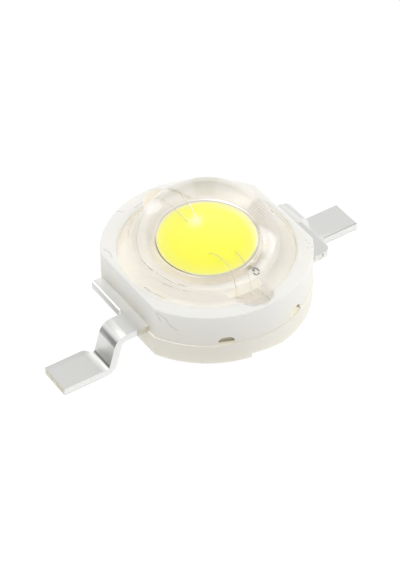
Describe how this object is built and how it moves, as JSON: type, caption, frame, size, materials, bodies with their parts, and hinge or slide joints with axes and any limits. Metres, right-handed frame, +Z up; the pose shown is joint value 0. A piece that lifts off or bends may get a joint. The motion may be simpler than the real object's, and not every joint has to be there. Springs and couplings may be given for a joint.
{
  "type": "high power led",
  "caption": "Surface-mount light emitter: clear dome lens over a yellow-filled reflector cup, round white moulded body with side flats, bent metal leads and a metal heat slug.",
  "frame": {"origin": "centre of the underside, on the plane that the slug and both feet rest on", "axes": "+X along the leads towards the cathode foot, +Z up through the dome's crown, +Y across towards the flat side's far end"},
  "size_m": [0.0142, 0.008, 0.0052],
  "materials": {
    "housing": "white moulded high-temperature plastic, soft sheen",
    "slug": "silver-plated copper, turned",
    "lead": "silver-plated copper strip, satin",
    "attach": "silver-filled adhesive",
    "die": "polished crystal chip",
    "phosphor": "yellow converter set in silicone",
    "wire": "fine gold wire",
    "gel": "clear silicone",
    "lens": "clear moulded lens"
  },
  "bodies": {
    "root": {"housing": "housing", "heat_slug": "slug", "anode_lead": "lead", "cathode_lead": "lead", "die_attach": "attach", "led_die": "die", "phosphor_fill": "phosphor", "bond_wire_1": "wire", "bond_wire_2": "wire", "bond_wire_3": "wire", "bond_wire_4": "wire", "silicone_gel": "gel", "lens": "lens"}
  },
  "joints": []
}
